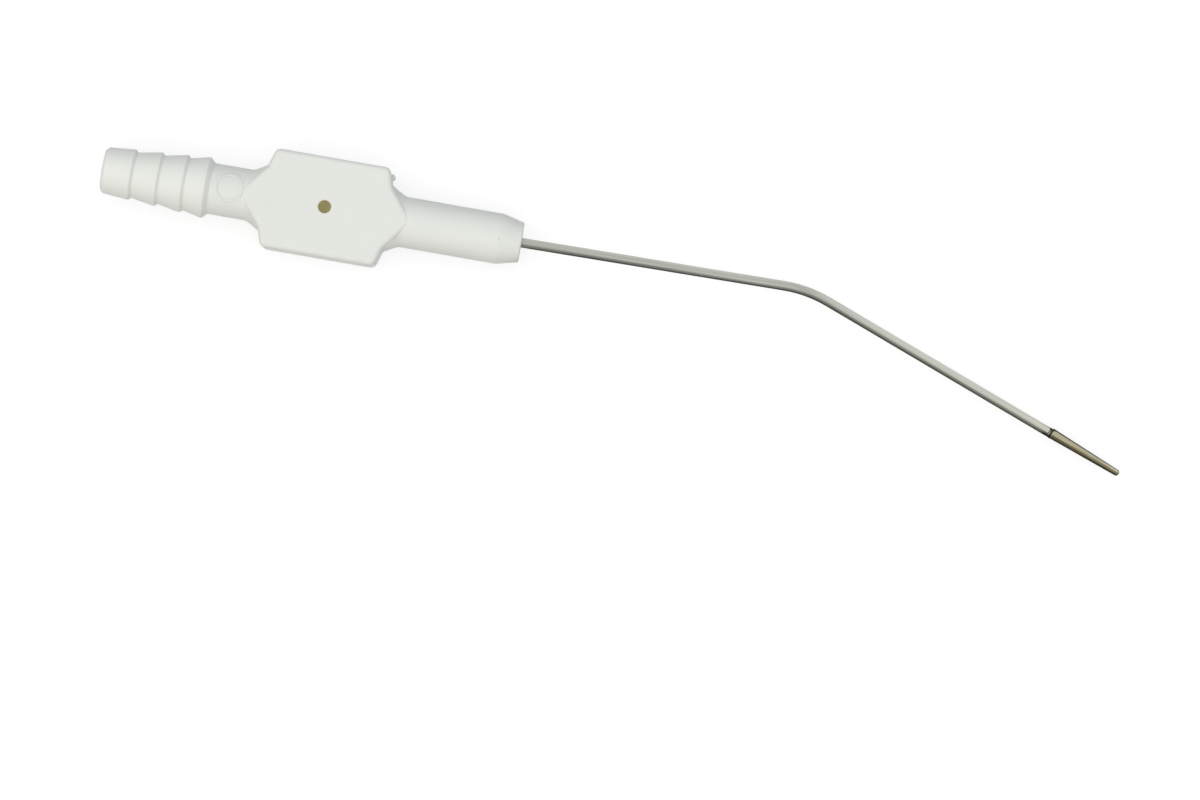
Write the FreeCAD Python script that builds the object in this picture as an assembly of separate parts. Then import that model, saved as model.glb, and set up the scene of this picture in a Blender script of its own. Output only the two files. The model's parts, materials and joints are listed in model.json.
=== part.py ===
import FreeCAD, Part
import math
import os

# Fine ear suction tube: a moulded handle with a hose barb, a flat finger plate with a vent hole and
# a round nose, a bent steel tube seated in the nose, and a tapered fine end joined to the tube.
# Millimetres. The pieces are made along the handle's axis, X from the hose end to the nose, Y across
# the finger plate and Z out of the plate. At the end all are laid as they rest on a level surface.

Vector = FreeCAD.Vector
Z_AXIS = Vector(0, 0, 1)
BACKWARD = Vector(-1, 0, 0)

# Hose barb, from the hose end: root diameter, rim diameter and the rim's place, ring by ring
barb_rings = (
    (7.30, 8.00, 4.54),
    (7.22, 8.52, 8.76),
    (7.72, 9.10, 12.80),
    (8.30, 9.64, 16.34),
)
barb_back_angle = 45.0
barb_rim_land = 0.15
hose_end_chamfer = 0.4

# Neck, finger plate and nose
neck_diameter = 8.08
nose_diameter = 8.01
flare_angle = 28.0
flare_round = 1.8
flare_sweep = 25.0
flare_width = 10.85
flare_run_in = 0.6
plate_rear = 26.37
plate_front = 44.43
plate_width = 15.65
plate_thickness = 8.20
plate_edge_round = 0.8
plate_corner_round = 1.1
shoulder_lean = 16.0
point_reach = 4.8
point_width = 9.6
point_round = 1.2
point_foot_round = 0.5
nose_cone_start = 63.15
handle_length = 66.6
nose_face_diameter = 6.3
nose_edge_round = 0.35
nose_cone_round = 0.6

# Stub of the moulding gate on the front shoulder
gate_diameter = 1.0
gate_height = 0.55
gate_offset = 6.55
gate_chamfer = 0.25

# Passage and vent
hose_bore = 4.8
hose_bore_chamfer = 0.3
passage_past_vent = 1.2
passage_end_angle = 45.0
vent_place = 35.33
vent_diameter = 2.05
vent_edge_round = 0.08

# Steel tube
tube_outer = 1.55
tube_inner = 1.15
seat_clearance = 0.02
first_run = 45.73
second_run = 44.11
drift_start = 1.5
drift_angle = 0.6
drift_radius = 150.0
bend_angle = 21.3
bend_radius = 20.0

# Joint bead and fine end
bead_length = 0.5
bead_crown = 1.54
bead_crease = 1.32
spigot_length = 3.0
spigot_clearance = 0.015
spigot_bore = 0.75
spigot_run_in = 0.4
fine_length = 12.5
fine_root_diameter = 1.67
fine_tip_diameter = 1.0
fine_bore = 0.4
fine_root_chamfer = 0.1
fine_tip_round = 0.45
fine_offset = 0.05
fine_lean = 0.6

# How far a cutting shape runs out past the face that it opens
cut_overrun = 1.0


def rounded_wire(corners, closed):
    """Straight runs through the corners (point, radius), with a tangent arc at each rounded corner."""
    count = len(corners)
    runs = []
    for index, (point, radius) in enumerate(corners):
        at_end = not closed and index in (0, count - 1)
        if radius == 0 or at_end:
            runs.append((point, None, point))
            continue
        before = (corners[index - 1][0] - point).normalize()
        after = (corners[(index + 1) % count][0] - point).normalize()
        half = before.getAngle(after) / 2
        reach = radius / math.tan(half)
        inward = (before + after).normalize()
        middle = point + inward * (radius / math.sin(half) - radius)
        runs.append((point + before * reach, middle, point + after * reach))
    edges = []
    for index, (start, middle, end) in enumerate(runs):
        if middle is not None:
            edges.append(Part.Arc(start, middle, end).toShape())
        if closed or index < count - 1:
            following = runs[(index + 1) % count][0]
            edges.append(Part.LineSegment(end, following).toShape())
    return Part.Wire(edges)


def turned(corners):
    """A solid of revolution about the X axis from (x, radius, corner rounding) rows."""
    profile = rounded_wire([(Vector(x, radius, 0), rounding) for x, radius, rounding in corners], True)
    return Part.Face(profile).revolve(Vector(0, 0, 0), Vector(1, 0, 0), 360)


def cylinder_along(diameter, length, start, direction):
    return Part.makeCylinder(diameter / 2, length, start, direction)


def single(shape):
    """The one solid inside a compound, so that each piece is written as a plain solid."""
    return shape.Solids[0] if len(shape.Solids) == 1 else shape


def barb_profile():
    """Rings that widen to a rim with a narrow land and fall back at an angle to the next root."""
    end = barb_rings[0][0] / 2
    rows = [(0, 0, 0), (0, end - hose_end_chamfer, 0), (hose_end_chamfer, end, 0)]
    next_roots = [ring[0] for ring in barb_rings[1:]] + [neck_diameter]
    for (_, rim, place), next_root in zip(barb_rings, next_roots):
        fall = (rim - next_root) / 2 / math.tan(math.radians(barb_back_angle))
        rows.append((place - barb_rim_land, rim / 2, 0))
        rows.append((place, rim / 2, 0))
        rows.append((place + fall, next_root / 2, 0))
    return rows


def core_profile():
    """The round core: barb, neck, nose and nose cone. The neck turns into the nose inside the plate."""
    neck = neck_diameter / 2
    nose = nose_diameter / 2
    middle = (plate_rear + plate_front) / 2
    return barb_profile() + [
        (middle, neck, 0),
        (middle, nose, 0),
        (nose_cone_start, nose, nose_cone_round),
        (handle_length, nose_face_diameter / 2, nose_edge_round),
        (handle_length, 0, 0),
    ]


def flare(root_diameter):
    """A trumpet that widens along X from the root, first in a tight arc and then in a gentle one.

    It is placed so that it has flare_width at X = 0, where it meets the plate's shoulder.
    """
    root = root_diameter / 2
    first = math.radians(flare_angle)

    def on_first(angle):
        return Vector(flare_round * math.sin(angle), root + flare_round * (1 - math.cos(angle)), 0)

    bend = on_first(first)

    def on_sweep(angle):
        along = math.sin(angle) - math.sin(first)
        outward = math.cos(first) - math.cos(angle)
        return bend + Vector(along, outward, 0) * flare_sweep

    def angle_at(radius):
        return math.acos(math.cos(first) - (radius - bend.y) / flare_sweep)

    last = angle_at(flare_width / 2 + flare_run_in)
    end = on_sweep(last)
    foot = Vector(0, root, 0)
    wire = Part.Wire([
        Part.LineSegment(Vector(0, 0, 0), foot).toShape(),
        Part.Arc(foot, on_first(first / 2), bend).toShape(),
        Part.Arc(bend, on_sweep((first + last) / 2), end).toShape(),
        Part.LineSegment(end, Vector(end.x, 0, 0)).toShape(),
        Part.LineSegment(Vector(end.x, 0, 0), Vector(0, 0, 0)).toShape(),
    ])
    trumpet = Part.Face(wire).revolve(Vector(0, 0, 0), Vector(1, 0, 0), 360)
    trumpet.translate(Vector(-on_sweep(angle_at(flare_width / 2)).x, 0, 0))
    return trumpet


def flares():
    """The two trumpets that run into the plate, trimmed flush with its faces."""
    back = (plate_width - flare_width) / 2 * math.tan(math.radians(shoulder_lean))
    rear = flare(neck_diameter)
    rear.translate(Vector(plate_rear - back, 0, 0))
    front = flare(nose_diameter)
    front.rotate(Vector(0, 0, 0), Z_AXIS, 180)
    front.translate(Vector(plate_front + back, 0, 0))
    corner = Vector(0, -plate_width / 2, -plate_thickness / 2)
    slab = Part.makeBox(handle_length, plate_width, plate_thickness, corner)
    return rear.common(slab), front.common(slab)


def plate_half_outline(corner_place, outward):
    """One end of the plate's outline, from its -Y corner to its +Y corner.

    The shoulders lean outward, and between them a blunt point runs out over the neck or the nose.
    """
    half_width = plate_width / 2
    half_point = point_width / 2
    foot_place = corner_place + outward * (half_width - half_point) * math.tan(math.radians(shoulder_lean))
    return [
        (corner_place, -half_width, plate_corner_round),
        (foot_place, -half_point, point_foot_round),
        (corner_place + outward * point_reach, 0, point_round),
        (foot_place, half_point, point_foot_round),
        (corner_place, half_width, plate_corner_round),
    ]


def plate():
    """Finger plate with leaning shoulders, a point at each end and rounded edges."""
    bottom = -plate_thickness / 2
    outline = plate_half_outline(plate_front, 1) + plate_half_outline(plate_rear, -1)[::-1]
    wire = rounded_wire([(Vector(x, y, bottom), rounding) for x, y, rounding in outline], True)
    block = Part.Face(wire).extrude(Vector(0, 0, plate_thickness))
    faces = sorted(block.Faces, key=lambda face: face.CenterOfMass.z)
    return block.makeFillet(plate_edge_round, faces[0].Edges + faces[-1].Edges)


def gate_stub():
    """A short round stub that stands square on the front shoulder, sunk into it by its height."""
    lean = math.radians(shoulder_lean)
    along = (plate_width / 2 - gate_offset) * math.tan(lean)
    foot = Vector(plate_front + along, gate_offset, 0)
    outward = Vector(math.cos(lean), math.sin(lean), 0)
    stub = cylinder_along(gate_diameter, gate_height * 2, foot - outward * gate_height, outward)
    ends = [edge for edge in stub.Edges if edge.Closed and (edge.CenterOfMass - foot).dot(outward) > 0]
    return stub.makeChamfer(gate_chamfer, ends)


def hose_bore_end():
    return vent_place + vent_diameter / 2 + passage_past_vent


def seat_start():
    """Where the passage has narrowed to the tube's seat, which is where the tube begins."""
    fall = hose_bore / 2 - tube_outer / 2 - seat_clearance
    return hose_bore_end() + fall / math.tan(math.radians(passage_end_angle))


def passage():
    """Hose bore, its narrowing end and the tube's seat, open at both ends of the handle."""
    bore = hose_bore / 2
    seat = tube_outer / 2 + seat_clearance
    mouth = bore + hose_bore_chamfer
    return turned([
        (-cut_overrun, 0, 0),
        (-cut_overrun, mouth, 0),
        (0, mouth, 0),
        (hose_bore_chamfer, bore, 0),
        (hose_bore_end(), bore, 0),
        (seat_start(), seat, 0),
        (handle_length + cut_overrun, seat, 0),
        (handle_length + cut_overrun, 0, 0),
    ])


def vent():
    """The vent hole, from the plate's upper face down into the passage, with an eased edge."""
    top = plate_thickness / 2
    radius = vent_diameter / 2
    hole = cylinder_along(vent_diameter, top + vent_edge_round, Vector(vent_place, 0, 0), Z_AXIS)
    # The easing starts one round below the face and runs out one round above it
    height = 2 * vent_edge_round
    below = Vector(vent_place, 0, top - vent_edge_round)
    return hole.fuse(Part.makeCone(radius, radius + height, height, below, Z_AXIS))


def handle():
    body = turned(core_profile()).fuse([*flares(), plate(), gate_stub()])
    return single(body.cut(passage()).cut(vent()).removeSplitter())


def tube_corners():
    """Corners of the tube's centre line, with their radii: seat, slight drift at the nose, bend and end."""
    drift = math.radians(drift_angle)
    turn = math.radians(drift_angle - bend_angle)
    start = Vector(seat_start(), 0, 0)
    drift_point = Vector(handle_length + drift_start, 0, 0)
    corner = drift_point + Vector(math.cos(drift), math.sin(drift), 0) * (first_run - drift_start)
    end = corner + Vector(math.cos(turn), math.sin(turn), 0) * second_run
    return [(start, 0), (drift_point, drift_radius), (corner, bend_radius), (end, 0)]


def tube_end_frame():
    """Placement with X along the second run, at the tube's far end."""
    end = tube_corners()[-1][0]
    return FreeCAD.Placement(end, FreeCAD.Rotation(Z_AXIS, drift_angle - bend_angle))


def suction_tube():
    corners = tube_corners()
    route = rounded_wire(corners, False)

    def swept(diameter):
        ring = Part.Wire(Part.makeCircle(diameter / 2, corners[0][0], Vector(1, 0, 0)))
        return route.makePipeShell([ring], True, False)

    return single(swept(tube_outer).cut(swept(tube_inner)))


def spigot_radius():
    return tube_inner / 2 - spigot_clearance


def joint_bead():
    """A ridged ring round the spigot, between the tube's end and the fine end's root."""
    inner = tube_inner / 2
    ring = turned([
        (0, inner, 0),
        (0, bead_crease / 2, 0),
        (bead_length / 2, bead_crown / 2, 0),
        (bead_length, bead_crease / 2, 0),
        (bead_length, inner, 0),
    ])
    ring.Placement = tube_end_frame()
    return ring


def fine_placement():
    """The cone sits a little off the tube's axis and leans the same way as the bend.

    Its root face stands just clear of the bead and touches it on the side that it leans to.
    """
    stand_off = fine_root_diameter / 2 * math.sin(math.radians(fine_lean))
    root = Vector(bead_length + stand_off, fine_offset, 0)
    lean = FreeCAD.Placement(root, FreeCAD.Rotation(Z_AXIS, -fine_lean))
    return tube_end_frame().multiply(lean)


def fine_end():
    """A tapered tube with a rounded tip, and a spigot that reaches back into the steel tube."""
    cone = turned([
        (0, 0, 0),
        (0, fine_root_diameter / 2 - fine_root_chamfer, 0),
        (fine_root_chamfer, fine_root_diameter / 2, 0),
        (fine_length, fine_tip_diameter / 2, fine_tip_round),
        (fine_length, 0, 0),
    ])
    cone.Placement = fine_placement()
    # The spigot runs on into the cone, whose root face leans
    front = Vector(bead_length + spigot_run_in, 0, 0)
    reach = spigot_length + bead_length + spigot_run_in
    spigot = cylinder_along(2 * spigot_radius(), reach, front, BACKWARD)
    spigot_hole = cylinder_along(spigot_bore, reach + cut_overrun, front, BACKWARD)
    for shape in (spigot, spigot_hole):
        shape.Placement = tube_end_frame()
    past_tip = Vector(fine_length + cut_overrun, 0, 0)
    tip_hole = cylinder_along(fine_bore, fine_length + 2 * cut_overrun, past_tip, BACKWARD)
    tip_hole.Placement = fine_placement()
    return single(cone.fuse(spigot).cut(spigot_hole).cut(tip_hole))


def moved(shape, placement):
    copy = shape.copy()
    copy.Placement = placement.multiply(shape.Placement)
    return copy


def resting_placement(shapes):
    """Lays the shapes on the level plane z = 0 and centres them on it.

    The handle rests on its last barb rim and on the front of its nose. Both are round, so the
    weight of the bent tube rolls it until the plate's front corner on that side touches as well.
    """
    rim_diameter, rim_place = barb_rings[-1][1:]
    rim_radius = rim_diameter / 2
    pitch = math.atan((rim_radius - nose_diameter / 2) / (nose_cone_start - rim_place))
    edge = plate_edge_round
    edge_y = plate_width / 2 - edge
    edge_z = plate_thickness / 2 - edge
    room = rim_radius - (plate_front - edge - rim_place) * math.tan(pitch) - edge / math.cos(pitch)
    roll = max(0, math.asin(room / math.hypot(edge_y, edge_z)) - math.atan2(edge_z, edge_y))
    nose_down = FreeCAD.Rotation(Vector(0, 1, 0), math.degrees(pitch))
    roll_over = FreeCAD.Rotation(Vector(1, 0, 0), math.degrees(roll))
    laid = FreeCAD.Placement(Vector(0, 0, 0), nose_down.multiply(roll_over))
    boxes = [moved(shape, laid).optimalBoundingBox(False) for shape in shapes]
    middle_x = (min(box.XMin for box in boxes) + max(box.XMax for box in boxes)) / 2
    middle_y = (min(box.YMin for box in boxes) + max(box.YMax for box in boxes)) / 2
    floor = min(box.ZMin for box in boxes)
    return FreeCAD.Placement(Vector(-middle_x, -middle_y, -floor), laid.Rotation)


pieces = {
    "handle": handle(),
    "suction_tube": suction_tube(),
    "joint_bead": joint_bead(),
    "fine_end": fine_end(),
}
rest = resting_placement(pieces.values())

os.makedirs("parts", exist_ok=True)
for name, shape in pieces.items():
    placed = moved(shape, rest)
    placed.exportStep("parts/" + name + ".step")
    print(name, placed.ShapeType, placed.isValid(), "volume", round(placed.Volume, 2))
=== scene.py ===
import json
from math import cos, radians, sin

import bpy
from mathutils import Matrix, Vector


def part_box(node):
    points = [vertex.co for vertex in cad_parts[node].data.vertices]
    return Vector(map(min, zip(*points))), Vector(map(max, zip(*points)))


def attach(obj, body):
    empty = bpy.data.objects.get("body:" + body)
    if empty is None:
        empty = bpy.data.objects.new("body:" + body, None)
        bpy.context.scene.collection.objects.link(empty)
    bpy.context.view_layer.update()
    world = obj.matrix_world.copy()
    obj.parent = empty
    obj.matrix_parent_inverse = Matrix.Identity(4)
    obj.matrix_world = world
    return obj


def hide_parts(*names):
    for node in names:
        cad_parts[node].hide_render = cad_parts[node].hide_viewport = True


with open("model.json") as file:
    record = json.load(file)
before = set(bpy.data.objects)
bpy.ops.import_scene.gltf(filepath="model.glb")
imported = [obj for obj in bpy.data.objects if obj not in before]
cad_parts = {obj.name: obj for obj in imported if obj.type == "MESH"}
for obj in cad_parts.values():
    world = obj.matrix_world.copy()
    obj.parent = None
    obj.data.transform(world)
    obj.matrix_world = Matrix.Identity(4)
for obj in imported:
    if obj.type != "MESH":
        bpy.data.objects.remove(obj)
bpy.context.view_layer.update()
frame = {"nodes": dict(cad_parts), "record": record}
print("solids loaded:", ", ".join(sorted(frame["nodes"])))

mm = 0.001
mounts = {mount["name"]: mount for mount in frame["record"]["mounts"]}

# the handle's own axes: x runs from the barb's mouth to the nose, z comes out of the vent
handleStart = Vector(mounts["hose_barb"]["pos_m"])
handleX = -Vector(mounts["hose_barb"]["axis"]).normalized()
handleZ = Vector(mounts["vent"]["axis"]).normalized()
handleY = handleZ.cross(handleX).normalized()

# the tube leaves the nose with a slight drift and bends once
tubeRuns = {"drift": 0.6, "bend": 21.3}


# axes of a straight run that is turned in the handle's plane
def runFrame(turn, start):
    along = cos(radians(turn)) * handleX + sin(radians(turn)) * handleY
    side = handleZ.cross(along)
    axes = Matrix((along, side, handleZ)).transposed()
    return axes, Vector(start)


handleAxes, _ = runFrame(0, handleStart)
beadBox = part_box("joint_bead")
beadCentre = (Vector(beadBox[0]) + Vector(beadBox[1])) / 2
firstRun, firstStart = runFrame(tubeRuns["drift"], handleStart)
secondRun, secondStart = runFrame(tubeRuns["drift"] - tubeRuns["bend"], beadCentre)


# short ways to add shader nodes to a tree
class Graph:
    def __init__(self, tree):
        self.tree = tree
        tree.nodes.clear()

    def add(self, kind, inputs=None, **settings):
        node = self.tree.nodes.new("ShaderNode" + kind)
        for name, value in settings.items():
            setattr(node, name, value)
        for socket, value in (inputs or {}).items():
            self.feed(node.inputs[socket], value)
        return node

    def feed(self, socket, value):
        if isinstance(value, bpy.types.NodeSocket):
            self.tree.links.new(value, socket)
        else:
            socket.default_value = value

    def math(self, operation, first, second=0.0, clamp=False):
        node = self.add("Math", {0: first, 1: second}, operation=operation)
        node.use_clamp = clamp
        return node.outputs[0]

    # a smooth step: start below low, end above high
    def ramp(self, value, low, high, start=0.0, end=1.0):
        node = self.add("MapRange", {"Value": value, "From Min": low, "From Max": high,
                                     "To Min": start, "To Max": end},
                        interpolation_type="SMOOTHSTEP")
        return node.outputs["Result"]

    # between two colours
    def mix(self, amount, first, second):
        node = self.add("Mix", {0: amount, 6: first, 7: second}, data_type="RGBA")
        return node.outputs[2]

    def mixValue(self, amount, first, second):
        node = self.add("Mix", {0: amount, 2: first, 3: second}, data_type="FLOAT")
        return node.outputs[0]

    # Object coordinates seen from a frame of their own, in millimetres
    def local(self, axes, start):
        place = self.add("TexCoord").outputs["Object"]
        node = self.add("Mapping", {"Vector": place, "Location": start,
                                    "Rotation": axes.to_euler(), "Scale": (mm, mm, mm)},
                        vector_type="TEXTURE")
        return node.outputs["Vector"]

    def stretched(self, vector, scale):
        return self.add("Mapping", {"Vector": vector, "Scale": scale}).outputs["Vector"]

    def noise(self, vector, scale, detail=2.0, roughness=0.5):
        node = self.add("TexNoise", {"Vector": vector, "Scale": scale, "Detail": detail,
                                     "Roughness": roughness})
        return node.outputs["Fac"]

    def split(self, vector):
        return self.add("SeparateXYZ", {"Vector": vector}).outputs

    def distance(self, first, second):
        pair = self.add("CombineXYZ", {"X": first, "Y": second}).outputs[0]
        return self.add("VectorMath", {0: pair}, operation="LENGTH").outputs["Value"]

    def bump(self, height, strength, distance, normal=None):
        inputs = {"Height": height, "Strength": strength, "Distance": distance * mm}
        if normal is not None:
            inputs["Normal"] = normal
        return self.add("Bump", inputs).outputs["Normal"]


# a material's tree, with its shader and its output
class Surface(Graph):
    def __init__(self, name):
        self.material = bpy.data.materials.new(name)
        self.material.use_nodes = True
        super().__init__(self.material.node_tree)
        self.shader = self.add("BsdfPrincipled")
        output = self.add("OutputMaterial")
        self.tree.links.new(self.shader.outputs["BSDF"], output.inputs["Surface"])

    def finish(self, **inputs):
        for name, value in inputs.items():
            self.feed(self.shader.inputs[name.replace("_", " ")], value)
        return self.material


def rgb(red, green, blue):
    return (red, green, blue, 1.0)


plastic = {
    "colour": rgb(0.775, 0.788, 0.745),
    "patch": rgb(0.767, 0.780, 0.737),
    "barb": rgb(0.800, 0.813, 0.768),
    "crease": rgb(0.715, 0.715, 0.66),
    "ventWall": rgb(0.78, 0.73, 0.58),
    "inside": rgb(0.60, 0.55, 0.31),
    "insideFront": rgb(0.60, 0.60, 0.45),
    "throughWall": 0.21,  # strength of the painted glow inside the bore, next to the vent
    "rim": rgb(0.76, 0.735, 0.64),
    "speck": rgb(0.36, 0.33, 0.27),
    "roughness": 0.40,
    "reach": 0.9,         # mm that light travels in the wall
    "grain": 0.3,         # mm, the mould's fine texture
    "waves": 2.5,         # mm, faint sink marks
    "barbFade": (15.0, 18.0),     # mm along the handle, where the barb's painted light ends: its tone is painted paler, as more light falls on the barb
    "ringRoots": (4.75, 8.95, 13.0, 16.75),
    "rootWidth": (0.1, 0.5),
    "ventPlace": 35.33,
    "ventRadius": mounts["vent"]["dims"]["r_mm"],
    "ventTop": (3.95, 4.12),      # mm above the handle's axis
    "rimWidth": 0.35,
    "boreRadius": mounts["hose_bore"]["dims"]["r_mm"],
    "boreStart": (4.0, 24.0),     # mm along the handle, where the bore's colour sets in
    "boreEnd": (45.0, 60.0),      # and where it ends
    "glowReach": (1.5, 6.0),      # mm from the vent
    "speckPlace": (63.05, -0.25, 3.9),
    "speckSize": (0.08, 0.22),
}


def whitePlastic(name, soft):
    g = Surface(name)
    place = g.local(handleAxes, handleStart)
    x, y, z = g.split(place)
    patches = g.ramp(g.noise(place, 0.12, 3.0), 0.35, 0.65)
    colour = g.mix(patches, plastic["colour"], plastic["patch"])
    # painted light: the barb's tone a little paler, as more light falls on the barb
    colour = g.mix(g.ramp(x, *plastic["barbFade"], 1.0, 0.0), colour, plastic["barb"])

    # painted shade, a little darker and warmer, where the rings of the barb meet their roots
    for root in plastic["ringRoots"]:
        away = g.math("ABSOLUTE", g.math("SUBTRACT", x, root))
        near = g.ramp(away, *plastic["rootWidth"], 0.35, 0.0)
        colour = g.mix(near, colour, plastic["crease"])

    # the vent: a pale warm rim, and painted light inside: the vent's wall and the bore are
    # painted warm and brown-olive, for light that comes through the wall and for the shade in
    # the bore, and they glow a little near the vent
    forward = g.math("SUBTRACT", x, plastic["ventPlace"])
    fromVent = g.distance(forward, y)
    radius = plastic["ventRadius"]
    rim = g.ramp(fromVent, radius + 0.02, radius + plastic["rimWidth"], 0.8, 0.0)
    upperHalf = g.ramp(z, 0.5, 1.0)
    colour = g.mix(g.math("MULTIPLY", rim, upperHalf), colour, plastic["rim"])
    below = g.ramp(z, *plastic["ventTop"], 1.0, 0.0)
    inVent = g.math("MULTIPLY", g.ramp(fromVent, radius + 0.03, radius + 0.08, 1.0, 0.0), below)
    colour = g.mix(inVent, colour, plastic["ventWall"])
    bore = plastic["boreRadius"]
    nearAxis = g.ramp(g.distance(y, z), bore + 0.02, bore + 0.08, 1.0, 0.0)
    deep = g.math("MULTIPLY", g.ramp(x, *plastic["boreStart"]),
                  g.ramp(x, *plastic["boreEnd"], 1.0, 0.0))
    inBore = g.math("MULTIPLY", nearAxis, deep)
    # painted light: greyer towards the front of the vent, where the wall inside is lit
    inside = g.mix(g.ramp(forward, -0.2, 1.4), plastic["inside"], plastic["insideFront"])
    colour = g.mix(inBore, colour, inside)
    # painted glow: the bore's inside gives off a little light next to the vent
    nearVent = g.ramp(g.math("ABSOLUTE", forward), *plastic["glowReach"], 1.0, 0.0)
    paintedGlow = g.math("MULTIPLY", g.math("MULTIPLY", inBore, nearVent), plastic["throughWall"])

    # one tiny dark speck near the nose
    away = g.add("VectorMath", {0: place, 1: plastic["speckPlace"]}, operation="DISTANCE")
    speck = g.ramp(away.outputs["Value"], *plastic["speckSize"], 0.5, 0.0)
    colour = g.mix(speck, colour, plastic["speck"])

    waves = g.bump(g.noise(place, 1 / plastic["waves"], 1.0), 0.25, 0.02)
    grain = g.bump(g.noise(place, 1 / plastic["grain"], 2.0), 0.35, 0.006, waves)
    rough = g.ramp(g.noise(place, 0.5, 2.0), 0.3, 0.7, plastic["roughness"] - 0.04,
                   plastic["roughness"] + 0.05)
    g.shader.subsurface_method = "RANDOM_WALK"
    return g.finish(Base_Color=colour, Roughness=rough, Normal=grain, IOR=1.5,
                    Specular_IOR_Level=0.2, Subsurface_Weight=soft,
                    Subsurface_Radius=(1.0, 0.9, 0.6), Subsurface_Scale=plastic["reach"] * mm,
                    Emission_Color=inside, Emission_Strength=paintedGlow)


steel = {
    "colour": rgb(0.535, 0.54, 0.49),
    "shade": rgb(0.40, 0.405, 0.365),
    "pale": rgb(0.625, 0.63, 0.565),
    "char": rgb(0.03, 0.027, 0.02),
    "nearNose": rgb(0.43, 0.435, 0.395),
    "stain": rgb(0.62, 0.60, 0.50),
    "roughness": 0.28,
    # mm from the barb's mouth
    "bendPlace": 110.0,
    "nearNoseFade": (66.0, 88.0),
    "paleFade": (112.0, 128.0),
    "stainFade": (146.0, 153.5),
    # mm from the bead along the second run, and from its middle line
    "burntRun": (-1.7, -0.5),
    "burntEdge": (-0.6, -0.1),
    "shadeEdge": (-0.25, 0.1),
}


# fine draw marks that run along one straight run
def streaks(g, axes, start):
    place = g.local(axes, start)
    fine = g.noise(g.stretched(place, (0.10, 7.0, 7.0)), 1.0, 3.0, 0.6)
    broad = g.noise(g.stretched(place, (0.04, 2.6, 2.6)), 1.0, 2.0)
    return fine, broad


def satinSteel():
    g = Surface("satin_steel_drawn")
    x = g.split(g.local(handleAxes, handleStart))["X"]
    after = g.ramp(x, steel["bendPlace"] - 3, steel["bendPlace"] + 3)
    fine1, broad1 = streaks(g, firstRun, firstStart)
    fine2, broad2 = streaks(g, secondRun, secondStart)
    fine = g.mixValue(after, fine1, fine2)
    broad = g.mixValue(after, broad1, broad2)
    colour = g.mix(g.ramp(broad, 0.3, 0.7), steel["colour"], steel["shade"])
    colour = g.mix(g.ramp(x, *steel["nearNoseFade"], 0.8, 0.0), colour, steel["nearNose"])
    # painted reflection: the second run is paler, for the brighter reflection it shows
    colour = g.mix(g.ramp(x, *steel["paleFade"], 0.0, 0.6), colour, steel["pale"])
    colour = g.mix(g.ramp(x, *steel["stainFade"], 0.0, 0.6), colour, steel["stain"])

    # the second run: a darker lower half and a near-black lower edge next to the bead, both
    # painted shade
    run, side, _ = g.split(g.local(secondRun, secondStart))
    edge = g.math("ADD", side, g.ramp(broad, 0.2, 0.8, -0.15, 0.15))
    lower = g.math("MULTIPLY", after, g.ramp(edge, *steel["shadeEdge"], 0.6, 0.0))
    colour = g.mix(lower, colour, steel["shade"])
    # painted shade: near-black along the lower edge, next to the bead
    lowerEdgeShade = g.math("MULTIPLY", g.ramp(run, *steel["burntRun"]),
                   g.ramp(edge, *steel["burntEdge"], 1.0, 0.0))
    colour = g.mix(g.math("MULTIPLY", lowerEdgeShade, after), colour, steel["char"])
    rough = g.ramp(fine, 0.3, 0.7, steel["roughness"] - 0.05, steel["roughness"] + 0.08)
    marks = g.bump(fine, 0.5, 0.008)
    return g.finish(Base_Color=colour, Metallic=1.0, Roughness=rough, Normal=marks)


tinted = {
    "tan": rgb(0.44, 0.41, 0.285),
    "olive": rgb(0.22, 0.19, 0.105),
    "tip": rgb(0.60, 0.54, 0.48),
    "char": rgb(0.02, 0.018, 0.014),
    "roughness": 0.27,
    # mm along the second run from the bead
    "length": 12.6,
    "radii": (0.85, 0.5),
    "tipFade": (9.5, 12.4),
    "outlineFade": (1.0, 10.0),
    "residueEnd": (0.45, 0.75),
    # shares of the cone's radius, -1 at the lower edge and 1 at the upper one
    "oliveEdge": (-0.35, 0.05),
    "outlineEdge": (0.68, 0.95),
    "bottomEdge": (-0.98, -0.6),
}


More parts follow.
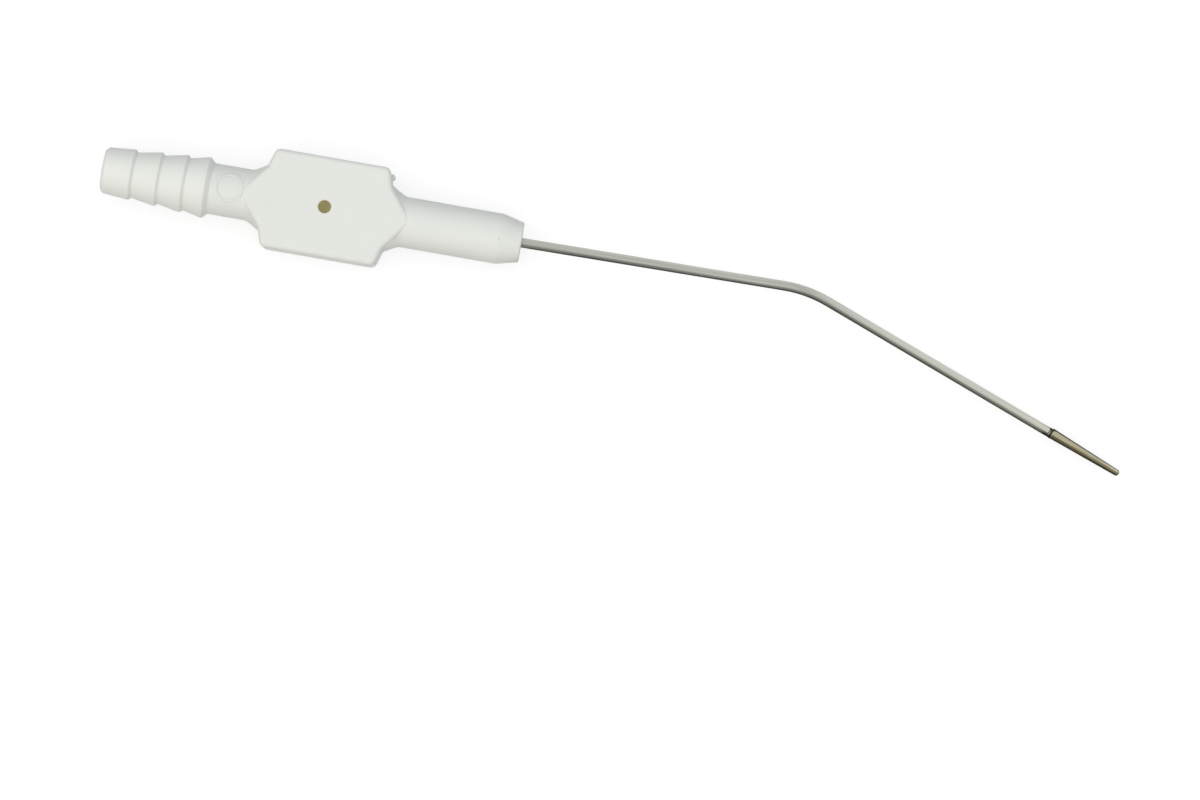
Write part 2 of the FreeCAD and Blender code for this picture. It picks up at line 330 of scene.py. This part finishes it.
def tintedMetal():
    g = Surface("tinted_metal_heated")
    place = g.local(secondRun, secondStart)
    x, y, _ = g.split(place)
    wobble = g.noise(g.stretched(place, (0.25, 2.5, 2.5)), 1.0, 3.0, 0.6)
    shift = g.ramp(wobble, 0.2, 0.8, -0.2, 0.2)
    radius = g.ramp(x, 0.0, tinted["length"], *tinted["radii"])
    share = g.math("DIVIDE", y, radius)
    low = g.math("ADD", share, shift)
    low = g.math("ADD", low, g.ramp(x, 6.0, 12.0, 0.0, -0.12))
    colour = g.mix(g.ramp(x, *tinted["tipFade"], 0.0, 0.9), tinted["tan"], tinted["tip"])
    # painted shade: the lower half is darker, in olive
    colour = g.mix(g.ramp(low, *tinted["oliveEdge"], 1.0, 0.0), colour, tinted["olive"])

    # painted shade: the upper outline is nearly black. The root is nearly black on its upper
    # side
    outline = g.math("MULTIPLY", g.ramp(share, *tinted["outlineEdge"]),
                     g.ramp(x, *tinted["outlineFade"], 0.9, 0.25))
    colour = g.mix(outline, colour, tinted["char"])
    ragged = g.math("ADD", x, shift)
    upperRootDark = g.math("MULTIPLY", g.ramp(ragged, *tinted["residueEnd"], 1.0, 0.0),
                     g.ramp(y, 0.3, 0.6))
    colour = g.mix(upperRootDark, colour, tinted["char"])
    # painted shade: near-black along the bottom edge
    bottom = g.ramp(share, *tinted["bottomEdge"], 0.9, 0.0)
    colour = g.mix(bottom, colour, tinted["char"])
    rough = g.ramp(wobble, 0.3, 0.7, tinted["roughness"] - 0.06, tinted["roughness"] + 0.1)
    return g.finish(Base_Color=colour, Metallic=0.85, Roughness=rough,
                    Normal=g.bump(wobble, 0.3, 0.01))


bead = {
    "body": rgb(0.22, 0.20, 0.15),
    "lump": rgb(0.30, 0.28, 0.22),
    "crease": rgb(0.012, 0.010, 0.007),
    "roughness": 0.32,
    # in mm: two bands of painted shade in the creases at places along the run, and where the top
    # and the bottom darken as painted shade
    "frontBand": (0.21, 0.10, 0.17),
    "backBand": (-0.22, 0.03, 0.09),
    "topFade": (0.22, 0.42),
    "lowFade": (-0.55, -0.3),
    "facets": 72,
    # along the run from the bead's middle, and the radius there, in mm
    "profile": ((-0.249, 0.578), (-0.249, 0.772), (-0.225, 0.768), (-0.190, 0.752),
                (-0.155, 0.762), (-0.100, 0.780), (-0.020, 0.788), (0.060, 0.784),
                (0.120, 0.768), (0.160, 0.748), (0.200, 0.758), (0.235, 0.800),
                (0.275, 0.848), (0.320, 0.868), (0.370, 0.866), (0.400, 0.848),
                (0.352, 0.838), (0.252, 0.738), (0.252, 0.578)),
}


def darkBead():
    g = Surface("dark_bead_burnt")
    place = g.local(secondRun, secondStart)
    x, y, _ = g.split(place)
    lumps = g.noise(place, 3.0, 3.0, 0.6)
    wander = g.math("ADD", x, g.ramp(lumps, 0.2, 0.8, -0.04, 0.04))
    colour = g.mix(g.ramp(lumps, 0.35, 0.7), bead["body"], bead["lump"])

    def band(middle, full, end, depth):
        away = g.math("ABSOLUTE", g.math("SUBTRACT", wander, middle))
        return g.ramp(away, full, end, depth, 0.0)

    # painted shade: dark bands in the bead's creases, and dark upper and lower outlines
    bands = g.math("MAXIMUM", band(*bead["frontBand"], 1.0), band(*bead["backBand"], 0.9))
    ends = g.math("MAXIMUM", g.ramp(y, *bead["topFade"]), g.ramp(y, *bead["lowFade"], 1.0, 0.0))
    dark = g.math("MAXIMUM", bands, ends)
    colour = g.mix(dark, colour, bead["crease"])
    rough = g.ramp(lumps, 0.3, 0.7, bead["roughness"] - 0.06, bead["roughness"] + 0.12)
    return g.finish(Base_Color=colour, Roughness=rough, Specular_IOR_Level=0.25,
                    Normal=g.bump(lumps, 0.5, 0.03))


finishes = {"white_plastic": whitePlastic("white_plastic_moulded", soft=0.2),
            "satin_steel": satinSteel(), "tinted_metal": tintedMetal(), "dark_bead": darkBead(),
            "raised_line": whitePlastic("white_plastic_line", soft=0.0)}
for node in frame["nodes"].values():
    for slot in node.material_slots:
        slot.material = finishes[slot.name]
print("materials set")


# new pieces

def startPiece():
    if bpy.context.object and bpy.context.object.mode != "OBJECT":
        bpy.ops.object.mode_set(mode="OBJECT")
    bpy.ops.object.select_all(action="DESELECT")


# puts a piece that was modelled about the origin where it belongs, in its mesh
def placePiece(piece, name, axes, start, finish):
    piece.name = name
    piece.data.name = name
    piece.matrix_world = Matrix.Translation(start) @ axes.to_4x4() @ piece.matrix_world
    bpy.ops.object.transform_apply(location=True, rotation=True, scale=True)
    piece.data.materials.clear()
    piece.data.materials.append(finishes[finish])


def jointBead():
    # the ring is drawn as a row of hoops about z, which then becomes the run's direction
    startPiece()
    first = bead["profile"][0]
    bpy.ops.mesh.primitive_circle_add(vertices=bead["facets"], radius=first[1] * mm,
                                      location=(0, 0, first[0] * mm))
    piece = bpy.context.object
    bpy.ops.object.mode_set(mode="EDIT")
    bpy.ops.mesh.select_all(action="SELECT")
    place, radius = first
    for nextPlace, nextRadius in bead["profile"][1:] + (first,):
        shift = (0, 0, (nextPlace - place) * mm)
        size = nextRadius / radius
        bpy.ops.mesh.extrude_region_move(TRANSFORM_OT_translate={"value": shift})
        bpy.ops.transform.resize(value=(size, size, 1), center_override=(0, 0, 0))
        place, radius = nextPlace, nextRadius
    bpy.ops.mesh.select_all(action="SELECT")
    bpy.ops.mesh.remove_doubles(threshold=0.0005 * mm)
    bpy.ops.mesh.normals_make_consistent(inside=False)
    bpy.ops.object.mode_set(mode="OBJECT")
    bpy.ops.object.shade_smooth_by_angle(angle=radians(50))
    along, side, up = secondRun.transposed()
    axes = Matrix((side, up, along)).transposed()
    placePiece(piece, "joint_bead_ring", axes, beadCentre, "dark_bead")
    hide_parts("joint_bead")
    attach(piece, "root")
    return piece


neckRing = {
    "along": 20.07,       # mm along the handle from the barb's mouth
    "side": 0.52,
    "radius": 2.19,       # outer
    "line": 0.30,         # width
    "proud": 0.16,
    "edge": 0.05,         # rounding
    "drop": 8,            # mm above the axis, where the flat ring starts
    "steps": 96,
}


def raisedNeckRing():
    startPiece()
    bpy.ops.mesh.primitive_circle_add(vertices=neckRing["steps"], radius=neckRing["radius"] * mm,
                                      fill_type="NGON", location=(0, 0, 0))
    piece = bpy.context.object
    bpy.ops.object.mode_set(mode="EDIT")
    bpy.ops.mesh.select_all(action="SELECT")
    bpy.ops.mesh.inset(thickness=neckRing["line"] * mm)
    bpy.ops.mesh.delete(type="FACE")
    bpy.ops.object.mode_set(mode="OBJECT")
    spot = Vector((neckRing["along"], neckRing["side"], neckRing["drop"])) * mm
    spot = handleStart + handleAxes @ spot
    placePiece(piece, "neck_ring", handleAxes, spot, "raised_line")

    # the flat ring drops onto the neck and grows a wall, half of it sunk in the neck
    drop = piece.modifiers.new("drop", "SHRINKWRAP")
    drop.wrap_method = "PROJECT"
    drop.target = frame["nodes"]["handle"]
    drop.use_project_z = True
    drop.use_negative_direction = True
    drop.use_positive_direction = False
    bpy.ops.object.modifier_apply(modifier=drop.name)
    wall = piece.modifiers.new("wall", "SOLIDIFY")
    wall.thickness = 2 * neckRing["proud"] * mm
    wall.offset = 0
    bpy.ops.object.modifier_apply(modifier=wall.name)
    edge = piece.modifiers.new("edge", "BEVEL")
    edge.width = neckRing["edge"] * mm
    edge.segments = 3
    edge.limit_method = "ANGLE"
    bpy.ops.object.modifier_apply(modifier=edge.name)
    bpy.ops.object.mode_set(mode="EDIT")
    bpy.ops.mesh.select_all(action="SELECT")
    bpy.ops.mesh.normals_make_consistent(inside=False)
    bpy.ops.object.mode_set(mode="OBJECT")
    bpy.ops.object.shade_smooth_by_angle(angle=radians(60))
    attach(piece, "root")
    return piece


for piece in (jointBead(), raisedNeckRing()):
    print("piece:", piece.name, len(piece.data.polygons), "faces")


# stage

stage = {
    "floorSize": 6.0,
    "floorColour": rgb(0.30, 0.30, 0.30),
    "floorGlow": 0.75,
    "zenith": 1.247,
    "horizon": 0.373,
    "lightFrom": (-0.55, -0.83, 0),
    "cool": (0.69, 0.73, 0.785),   # the sky away from the light
    "warm": (1.35, 1.32, 1.27),    # the sky on the light's side
    "cardTint": rgb(1.0, 0.985, 0.93),
    "cardTop": 0.50,
    "cardFoot": 0.33,
    "cardHeight": 0.42,
    "cardAway": 0.20,     # how far the card's plane stands from the object
    "cardTurn": 45,       # degrees from -Y towards -X
    "cardHalf": 0.8,      # half its width
    "sheet": 0.10,        # the light level of the sheets
    "sheetHeight": 0.3,   # mm above the floor
}


# 1 for the rays that see the white background itself
def showsBackground(g):
    rays = g.add("LightPath").outputs
    seen = g.math("ADD", rays["Is Camera Ray"], rays["Is Glossy Ray"])
    return g.math("ADD", seen, rays["Is Transmission Ray"], clamp=True)


def addFloor():
    startPiece()
    bpy.ops.mesh.primitive_plane_add(size=stage["floorSize"], location=(0, 0, 0))
    floor = bpy.context.object
    floor.name = "floor"
    g = Surface("pale_table")
    g.finish(Base_Color=stage["floorColour"], Roughness=1.0, Specular_IOR_Level=0.0,
             Emission_Color=rgb(1, 1, 1),
             Emission_Strength=g.math("MULTIPLY", showsBackground(g), stage["floorGlow"]))
    floor.data.materials.append(g.material)


# a dark card that only reflections see, so that the tube gets its dark side
def addDarkCard(name, corners, low, high, top):
    startPiece()
    bpy.ops.mesh.primitive_plane_add(size=1, location=(0, 0, 0))
    card = bpy.context.object
    card.name = name
    for vertex, corner in zip(card.data.vertices, corners):
        vertex.co = corner
    g = Surface(name + "_card")
    height = g.split(g.add("TexCoord").outputs["Object"])["Z"]
    level = g.add("MapRange", {"Value": height, "From Max": top, "To Min": low, "To Max": high})
    g.finish(Base_Color=rgb(0, 0, 0), Roughness=1.0, Specular_IOR_Level=0.0,
             Emission_Color=stage["cardTint"], Emission_Strength=level.outputs["Result"])
    card.data.materials.append(g.material)
    card.visible_camera = False
    card.visible_diffuse = False
    card.visible_shadow = False


def addDarkCards():
    # one card stands beside the tube
    turn = radians(stage["cardTurn"])
    toCard = Vector((-sin(turn), -cos(turn), 0))
    across = Vector((cos(turn), -sin(turn), 0)) * stage["cardHalf"]
    foot = toCard * stage["cardAway"]
    top = foot + Vector((0, 0, stage["cardHeight"]))
    addDarkCard("side", [foot - across, foot + across, top - across, top + across],
                stage["cardFoot"], stage["cardTop"], stage["cardHeight"])

    # and three dark sheets lie under it, a painted shadow that only reflections see: along each
    # run on its far side, and beyond the fine end
    bendSpot = handleStart + handleAxes @ Vector((steel["bendPlace"], 0.5, 0)) * mm
    # for each: its corner, its axes, and its length and width in metres
    sheets = {"rear_sheet": (bendSpot, firstRun, -0.044, -0.4),
              "front_sheet": (bendSpot, secondRun, 0.5, -0.4),
              "tip_sheet": (beadCentre, secondRun, 0.5, 0.4)}
    for name, (spot, axes, length, width) in sheets.items():
        along, side, _ = axes.transposed()
        corners = [spot, spot + along * length, spot + side * width,
                   spot + along * length + side * width]
        corners = [(corner.x, corner.y, stage["sheetHeight"] * mm) for corner in corners]
        addDarkCard(name, corners, stage["sheet"], stage["sheet"], 1)


def addWorld():
    world = bpy.data.worlds.new("studio")
    world.use_nodes = True
    bpy.context.scene.world = world
    g = Graph(world.node_tree)
    direction = g.add("TexCoord").outputs["Generated"]
    height = g.split(direction)["Z"]
    sky = g.ramp(height, 0.0, 1.0, stage["horizon"], stage["zenith"])
    toLight = g.add("VectorMath", {0: direction, 1: stage["lightFrom"]}, operation="DOT_PRODUCT")
    side = g.add("MapRange", {"Value": toLight.outputs["Value"], "From Min": -1})
    tint = g.mix(side.outputs["Result"], rgb(*stage["cool"]), rgb(*stage["warm"]))

    # what shows behind the object is plain white
    seen = showsBackground(g)
    background = g.add("Background", {"Color": g.mix(seen, tint, rgb(1, 1, 1)),
                                      "Strength": g.mixValue(seen, sky, 1.0)})
    output = g.add("OutputWorld")
    g.tree.links.new(background.outputs[0], output.inputs["Surface"])


camera = {
    "place": (-0.0023838, -0.0552706, 0.6456006),
    "turn": (3.4785, -0.2269, 9.7836),   # degrees, z first, then x, then y
    "lens": 122.69,
    "sensor": 36.0,
}


def addCamera():
    data = bpy.data.cameras.new("camera")
    data.sensor_fit = "HORIZONTAL"
    data.sensor_width = camera["sensor"]
    data.lens = camera["lens"]
    data.clip_start = 0.01
    data.clip_end = 50
    piece = bpy.data.objects.new("camera", data)
    piece.rotation_mode = "ZXY"
    piece.rotation_euler = [radians(angle) for angle in camera["turn"]]
    piece.location = camera["place"]
    bpy.context.scene.collection.objects.link(piece)
    bpy.context.scene.camera = piece


addFloor()
addDarkCards()
addWorld()
addCamera()
bpy.context.scene.view_settings.view_transform = "Standard"
print("stage set")
